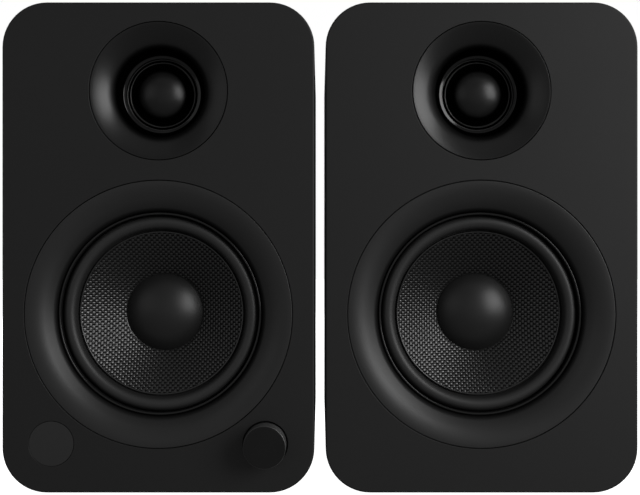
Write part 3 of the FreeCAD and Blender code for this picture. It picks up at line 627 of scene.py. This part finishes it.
def trim_ring(side):
    """Bezel round the woofer: a trumpet from the baffle down to the surround."""
    upper = bend((TRIM_R, 0.0), TRIM_UPPER_RADIUS, 0, TRIM_UPPER_SLOPE)
    slope = math.radians(TRIM_LOWER_SLOPE)
    lower_r = TRIM_THROAT_R + TRIM_LOWER_RADIUS * (1 - math.sin(slope))
    fall = (upper[-1][0] - lower_r) * math.tan(slope)
    lower_start = (lower_r, upper[-1][1] + fall)
    seat_r = CLAMP_R + 0.1
    outline = [
        *eased((TRIM_R, 0.0), (TRIM_R, TRIM_RIM), upper[3], TRIM_EDGE),
        *upper[4:],
        lower_start,
        *bend(lower_start, TRIM_LOWER_RADIUS, TRIM_LOWER_SLOPE, 90),
        (TRIM_THROAT_R, TRIM_BACK),
        (seat_r, TRIM_BACK),
        (seat_r, TRIM_SPIGOT_DEPTH),
        (TRIM_SPIGOT_R, TRIM_SPIGOT_DEPTH),
        (TRIM_SPIGOT_R, TRIM_RIM),
        (TRIM_R, TRIM_RIM),
    ]
    ring = turned(f"{side}_trim_bezel", outline, WOOFER[side])
    # Painted shade: the bezel's throat fades towards a black with no reflection, where the
    # trumpet shades it
    shaded = ((TRIM_THROAT_R, 0.8), (TRIM_THROAT_R + 1.5, 0.55), (49.0, 0))
    marked(ring, "painted_shade", WOOFER[side], *shaded)
    finished(ring, f"{side}_speaker", "trim_plastic", [f"{side}_trim_ring"])


def cone_front(r):
    """Depth of the cone's front face at a radius."""
    return CONE_DEPTH + (CONE_R - r) * CONE_SLOPE


def surround(side):
    """Half roll of rubber, with the lip that stands along the bezel's throat."""
    crown = ROLL_CROWN + ROLL_HALF
    inner_half = ROLL_HALF - RUBBER_T
    foot = CONE_R - 1.0
    foot_depth = cone_front(foot) + CONE_T + 0.25
    flat = TRIM_BACK + 0.1
    outline = [
        (CLAMP_R, flat + RUBBER_T),
        (CLAMP_R, flat),
        (LIP_OUTER_R, flat),
        *arc((LIP_OUTER_R - LIP_RADIUS, LIP_CROWN + LIP_RADIUS), LIP_RADIUS, 0, -180, 12),
        *arc((LIP_INNER_R - LIP_FILLET, flat + 0.25), LIP_FILLET, 0, 90, 4),
        *arc((ROLL_R, crown), ROLL_HALF, 0, -180, 40),
        (CONE_R + 0.5, cone_front(CONE_R) + CONE_T + 0.1),
        (foot, foot_depth),
        (foot, foot_depth + 0.7),
        (ROLL_R - ROLL_HALF, foot_depth + 0.1),
        *arc((ROLL_R, crown), inner_half, -180, 0, 24),
        (ROLL_R + inner_half, flat + RUBBER_T),
    ]
    roll = turned(f"{side}_surround", outline, WOOFER[side], sharp_degrees=50.0)
    roll_edge = (ROLL_R + ROLL_HALF, 0)
    # Painted shade: the rubber darkens from the roll's outer edge to the lip, which stands in
    # the bezel's shaded throat; the lip is also glossier
    marked(roll, "painted_shade", WOOFER[side], roll_edge, (LIP_INNER_R, 0.4))
    marked(roll, "polish", WOOFER[side], roll_edge, (LIP_INNER_R, 1))
    roll.data.materials.append(FINISHES["surround_rubber"])
    follow_by_radius(roll, side)
    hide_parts(f"{side}_woofer_surround")


def follow_by_radius(piece, side):
    """Writes each point's radius about the woofer into its place, bakes the piece's transform,
    and puts the points back.
    """
    mesh = piece.data
    flat = np.zeros(len(mesh.vertices) * 3)
    mesh.vertices.foreach_get("co", flat)
    shape = flat.reshape(-1, 3).copy()
    x, z = WOOFER[side]
    along = np.zeros_like(shape)
    along[:, 0] = np.hypot(shape[:, 0] - x, shape[:, 2] - z)
    mesh.vertices.foreach_set("co", along.ravel())
    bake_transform(piece)
    mesh.vertices.foreach_set("co", shape.ravel())
    mesh.update()


def thread_relief(x, z):
    """Height of a plain weave at points in its plane, and where an upright thread is on top."""
    u = x / THREAD_PITCH_X
    v = z / THREAD_PITCH_Z
    i = np.round(u)
    j = np.round(v)

    def section(offset):
        inside = 1 - (offset / THREAD_HALF) ** 2
        return np.where(inside > 0, np.sqrt(np.clip(inside, 0, 1)), THREAD_GAP)

    upright = THREAD_WAVE * np.cos(np.pi * (v + i)) + THREAD_ROUND * section(u - i)
    level = -THREAD_WAVE * np.cos(np.pi * (u + j)) + THREAD_ROUND * section(v - j)
    return np.maximum(upright, level), (upright > level).astype(float)


def grid_ticks(reach, pitch):
    """Evenly spaced places either side of 0, a few for every thread."""
    step = pitch / GRID_PER_THREAD
    count = int(reach / step) + 1
    return np.arange(-count, count + 1) * step


def woven_cone(side):
    """Cone of woven threads with a smooth band at its neck and a rolled rim."""
    outer_r = CONE_R - 0.45
    inner_r = CAP_R - 0.8
    across = grid_ticks(outer_r, THREAD_PITCH_X)
    up = grid_ticks(outer_r, THREAD_PITCH_Z)
    x, z = np.meshgrid(across, up, indexing="ij")
    r = np.hypot(x, z)
    height, upright = thread_relief(x, z)
    lean = math.hypot(1, CONE_SLOPE)
    safe_r = np.maximum(r, 1)
    inward = height * CONE_SLOPE / lean
    shown_x = x - inward * x / safe_r
    shown_z = z - inward * z / safe_r
    depth = cone_front(r) - height / lean
    kept = (r < outer_r) & (r > inner_r)
    corners = kept[:-1, :-1] & kept[1:, :-1] & kept[1:, 1:] & kept[:-1, 1:]
    number = np.full(r.shape, -1)
    used = np.zeros_like(kept)
    for di in (0, 1):
        for dj in (0, 1):
            used[di : used.shape[0] - 1 + di, dj : used.shape[1] - 1 + dj] |= corners
    number[used] = np.arange(used.sum())
    middle_x, middle_z = WOOFER[side]
    place = (
        middle_x + shown_x[used] * MM,
        BAFFLE_Y + depth[used] * MM,
        middle_z + shown_z[used] * MM,
    )
    points = np.stack(place, axis=1).tolist()
    a, b = np.nonzero(corners)
    around = (number[a, b], number[a + 1, b], number[a + 1, b + 1], number[a, b + 1])
    faces = np.stack(around, axis=1).tolist()
    tops = upright[used].tolist()
    for outline in (cone_rim(), cone_neck()):
        more_points, more_faces = ring_mesh(
            outline, WOOFER[side], SMALL_SEGMENTS, len(points)
        )
        points += more_points
        faces += more_faces
        tops += [1.0] * len(more_points)
    cone = new_piece(f"{side}_cone_weave", points, faces, 80.0)
    warp = cone.data.attributes.new("warp", "FLOAT", "POINT")
    warp.data.foreach_set("value", tops)
    finished(cone, f"{side}_woofer_cone", "woven_cone", [f"{side}_woofer_cone"])


def cone_rim():
    """Rolled rim that binds the ends of the threads, with the cone's back face."""
    inner = CONE_R - 0.85
    front = cone_front(CONE_R - 0.4)
    return [
        *arc((CONE_R - RIM_RADIUS, front - 0.15), RIM_RADIUS, 60, -200, 16),
        (inner - 0.05, cone_front(inner) + 0.1),
        (CAP_R, cone_front(CAP_R) + CONE_T),
        (CONE_R - 0.1, cone_front(CONE_R) + CONE_T),
    ]


def cone_neck():
    """Smooth resin band under the edge of the dust cap."""
    outer = CAP_R + 0.55
    rise = THREAD_WAVE + THREAD_ROUND
    return [
        (outer + 0.1, cone_front(outer) + 0.1),
        (outer, cone_front(outer) - rise),
        (CONE_NECK_R, cone_front(CONE_NECK_R) - rise),
        (CONE_NECK_R, cone_front(CONE_NECK_R) + CONE_T),
        (outer + 0.1, cone_front(outer) + CONE_T),
    ]


def dome_outline(radius, rim_depth, height, steps=36):
    """Front of a spherical cap from its rim to just short of its crown."""
    sphere = (radius**2 + height**2) / (2 * height)
    middle = rim_depth - height + sphere
    whole = math.asin(radius / sphere)
    points = []
    for i in range(steps):
        angle = whole * (1 - i / steps)
        points.append((sphere * math.sin(angle), middle - sphere * math.cos(angle)))
    points.append((AXIS_R, middle - sphere))
    return points


def dust_cap(side):
    """Shallow moulded dome over the voice coil, with a rolled edge on the weave."""
    rim_depth = cone_front(CAP_R) - 0.45
    outline = [
        (CAP_R - 0.1, rim_depth + CAP_T),
        *arc((CAP_R - CAP_EDGE, rim_depth + 0.2), CAP_EDGE, 90, -40, 5),
        *dome_outline(CAP_R, rim_depth, CAP_HEIGHT)[1:],
        (AXIS_R, rim_depth - CAP_HEIGHT + CAP_T),
        (CAP_R * 0.6, rim_depth - CAP_HEIGHT * 0.6 + CAP_T),
    ]
    cap = turned(f"{side}_cap", outline, WOOFER[side], DOME_SEGMENTS)
    finished(cap, f"{side}_woofer_cone", "cap_plastic", [f"{side}_dust_cap"])


# ---- tweeter pieces --------------------------------------------------------------------


def waveguide(side):
    """Horn plate: shallow at the rim, nearly straight-sided at the throat."""
    at_rim, at_middle, at_throat = GUIDE_SLOPES
    outer = bend((GUIDE_R, 0.0), GUIDE_OUTER_RADIUS, at_rim, at_middle)
    inner = bend(outer[-1], GUIDE_INNER_RADIUS, at_middle, at_throat)
    outline = [
        *eased((GUIDE_R, 0.0), (GUIDE_R, GUIDE_RIM), outer[3], GUIDE_EDGE),
        *outer[4:],
        *inner,
        GUIDE_THROAT,
        *bend(GUIDE_THROAT, -0.9, at_throat, 17, 8),
        (GUIDE_FOOT_R, 14.4),
        (GUIDE_FOOT_R, GUIDE_BACK),
        (GUIDE_BOSS_R, GUIDE_BACK),
        (GUIDE_BOSS_R, 12.0),
        (GUIDE_SPIGOT_R, 7.0),
        (GUIDE_SPIGOT_R, GUIDE_RIM),
        (GUIDE_R, GUIDE_RIM),
    ]
    horn = turned(f"{side}_horn", outline, TWEETER[side])
    # Painted shade: the deep throat fades to a black that reflects nothing and its foot is
    # darkened a little; the foot fillet is glossier
    throat_shade = ((16.5, 0.1), (17.5, 0.1), (18.0, 1), (20.0, 1), (22.2, 0))
    marked(horn, "painted_shade", TWEETER[side], *throat_shade)
    marked(horn, "polish", TWEETER[side], (17.6, 1), (18.2, 0))
    finished(horn, f"{side}_speaker", "waveguide_plastic", [f"{side}_waveguide"])


def tweeter_ring(side):
    """Clamping ring in front of the dome, with a fine bead along each edge, and the motor."""
    inner_edge = RING_INNER_R + 2 * BEAD_RADIUS
    outer_edge = RING_OUTER_R - 2 * BEAD_RADIUS
    groove = (inner_edge + 0.05, outer_edge - 0.05)
    plate_front = GUIDE_BACK + 0.05
    outline = [
        (AXIS_R, POLE_DEPTH),
        (POLE_R, POLE_DEPTH),
        (POLE_R, GAP_BACK),
        (GAP_R, GAP_BACK),
        (GAP_R, GAP_FRONT),
        (RING_INNER_R, GAP_FRONT),
        *arc((RING_INNER_R + BEAD_RADIUS, RING_DEPTH), BEAD_RADIUS, -180, 0, 8),
        (groove[0], RING_DEPTH + 0.3),
        (groove[1], RING_DEPTH + 0.3),
        *arc((RING_OUTER_R - BEAD_RADIUS, RING_DEPTH), BEAD_RADIUS, -180, 0, 8),
        (RING_OUTER_R, plate_front),
        (PLATE_R, plate_front),
        (PLATE_R, PLATE_BACK),
        (MOTOR_R, PLATE_BACK),
        (MOTOR_R, MOTOR_BACK - 1.0),
        (MOTOR_R - 1.0, MOTOR_BACK),
        (AXIS_R, MOTOR_BACK),
    ]
    ring = turned(f"{side}_tweeter_body", outline, TWEETER[side], SMALL_SEGMENTS)
    # Painted shade: the groove between the two beads is black with no reflection
    groove_shade = ((inner_edge, 0), (groove[0], 1), (groove[1], 1), (outer_edge, 0))
    marked(ring, "painted_shade", TWEETER[side], *groove_shade)
    finished(ring, f"{side}_speaker", "motor_black", [f"{side}_tweeter_motor"])


def tweeter_dome(side):
    """Soft dome with its small roll."""
    roll_end = DOME_R + ROLL_WIDTH
    half_sweep = math.asin(ROLL_WIDTH / 2 / ROLL_RADIUS)
    behind = ROLL_RADIUS * math.cos(half_sweep)
    roll_centre = (DOME_R + ROLL_WIDTH / 2, DOME_DEPTH + behind)
    sweep = math.degrees(half_sweep)
    outline = [
        (DOME_R - FORMER_HALF_T, FORMER_BACK),
        (DOME_R + FORMER_HALF_T, FORMER_BACK),
        (DOME_R + FORMER_HALF_T, DOME_DEPTH + 0.4),
        (roll_end, DOME_DEPTH + 0.4),
        *arc(roll_centre, ROLL_RADIUS, sweep - 90, -sweep - 90, 14),
        *dome_outline(DOME_R, DOME_DEPTH, DOME_HEIGHT)[1:],
        (AXIS_R, DOME_DEPTH - DOME_HEIGHT + 0.45),
        (DOME_R * 0.6, DOME_DEPTH - DOME_HEIGHT * 0.6 + 0.5),
        (DOME_R - FORMER_HALF_T, DOME_DEPTH + 0.4),
    ]
    dome = turned(f"{side}_silk_dome", outline, TWEETER[side], DOME_SEGMENTS, 50.0)
    # Painted shade: from the coat's edge outward the dome and its roll are black with no
    # reflection
    marked(dome, "painted_shade", TWEETER[side], (DOME_COAT_AND_SHADE_R, 0), (11.0, 1), (roll_end, 1))
    finished(dome, f"{side}_tweeter_dome", "dome_silk", [f"{side}_tweeter_dome"])


# ---- controls --------------------------------------------------------------------------


def volume_knob():
    """Cap with a plain face and fine turned ribs round its side, bored for its shaft."""
    face = -KNOB_REACH
    root = KNOB_R - RIB_HEIGHT
    ribs = []
    depth = face + 0.45
    while depth + RIB_PITCH < KNOB_BACK - 0.3:
        middle = depth + RIB_PITCH / 2
        for i in range(RIB_STEPS + 1):
            angle = math.pi * (i / RIB_STEPS - 0.5)
            r = root + RIB_HEIGHT * math.cos(angle)
            ribs.append((r, middle + RIB_PITCH / 2 * math.sin(angle)))
        depth += RIB_PITCH
    outline = [
        (AXIS_R, face),
        (KNOB_R - 0.6, face),
        *eased((KNOB_R - 0.1, face), (AXIS_R, face), (KNOB_R - 0.1, face + 1), 0.3),
        *ribs,
        (root, KNOB_BACK),
        (KNOB_R - KNOB_WALL, KNOB_BACK),
        (KNOB_R - KNOB_WALL, face + KNOB_FACE_T),
        (KNOB_HUB_R, face + KNOB_FACE_T),
        (KNOB_HUB_R, KNOB_HUB_BACK),
        (KNOB_BORE_R, KNOB_HUB_BACK),
        (KNOB_BORE_R, KNOB_BORE_END),
        (AXIS_R, KNOB_BORE_END),
    ]
    knob = turned("knob_cap", outline, KNOB, SMALL_SEGMENTS, 40.0)
    # The face and the roots of the ribs are darkened and lose most of their reflection: a
    # darker finish on the face, and painted shade in the grooves between the ribs
    marked(knob, "painted_shade", KNOB, (root, 0.89), (KNOB_R - 0.05, 0))
    finished(knob, "volume_knob", "knob_metal", ["volume_knob"])


# ---- stage -----------------------------------------------------------------------------


def camera():
    """Straight-on view from in front of the gap between the speakers."""
    data = bpy.data.cameras.new("camera")
    data.lens = CAMERA_LENS
    data.sensor_width = CAMERA_SENSOR
    data.shift_y = CAMERA_SHIFT
    view = bpy.data.objects.new("camera", data)
    view.location = (0, BAFFLE_Y - CAMERA_DISTANCE, CAMERA_HEIGHT)
    view.rotation_euler = (math.radians(90), 0, 0)
    bpy.context.scene.collection.objects.link(view)
    bpy.context.scene.camera = view


def softbox(name, direction, distance, size, power):
    """An area light that faces the speakers from a direction as seen from them."""
    data = bpy.data.lights.new(name, "AREA")
    data.shape = "RECTANGLE"
    data.size, data.size_y = size
    data.energy = power
    light = bpy.data.objects.new(name, data)
    toward = Vector(direction).normalized()
    light.location = Vector((0, BAFFLE_Y, LIGHT_AIM_HEIGHT)) + toward * distance
    light.rotation_euler = toward.to_track_quat("Z", "Y").to_euler()
    bpy.context.scene.collection.objects.link(light)


def world():
    """White behind the object, and a dim room in every reflection."""
    scene_world = bpy.data.worlds.new("studio")
    bpy.context.scene.world = scene_world
    scene_world.use_nodes = True
    tree = scene_world.node_tree
    seen = tree.nodes["Background"]
    seen.inputs["Color"].default_value = (1, 1, 1, 1)
    room = tree.nodes.new("ShaderNodeBackground")
    room.inputs["Color"].default_value = (1, 1, 1, 1)
    room.inputs["Strength"].default_value = ROOM_STRENGTH
    path = tree.nodes.new("ShaderNodeLightPath")
    pick = tree.nodes.new("ShaderNodeMixShader")
    tree.links.new(path.outputs["Is Camera Ray"], pick.inputs["Fac"])
    tree.links.new(room.outputs["Background"], pick.inputs[1])
    tree.links.new(seen.outputs["Background"], pick.inputs[2])
    tree.links.new(pick.outputs["Shader"], tree.nodes["World Output"].inputs["Surface"])


def floor():
    """White paper under the feet, which lights nothing and shows in no reflection."""
    signs = ((-1, -1), (1, -1), (1, 1), (-1, 1))
    corners = [(x * FLOOR_HALF, y * FLOOR_HALF, 0) for x, y in signs]
    plane = new_piece("floor", corners, [(0, 1, 2, 3)])
    recipe = Recipe("floor_paper")
    recipe.colour(recipe.blend(recipe.noise(60.0), grey(0.82), grey(0.86)))
    paper = recipe.fixed(roughness=0.9, emission=(1, 1, 1, 1), emission_strength=1.2)
    plane.data.materials.append(paper)
    plane.visible_diffuse = False
    plane.visible_glossy = False


dress_nodes()
for side in SIDES:
    trim_ring(side)
    surround(side)
    woven_cone(side)
    dust_cap(side)
    waveguide(side)
    tweeter_ring(side)
    tweeter_dome(side)

volume_knob()

camera()
world()
floor()
for values in SOFTBOXES:
    softbox(*values)
bpy.context.scene.view_settings.view_transform = "Standard"
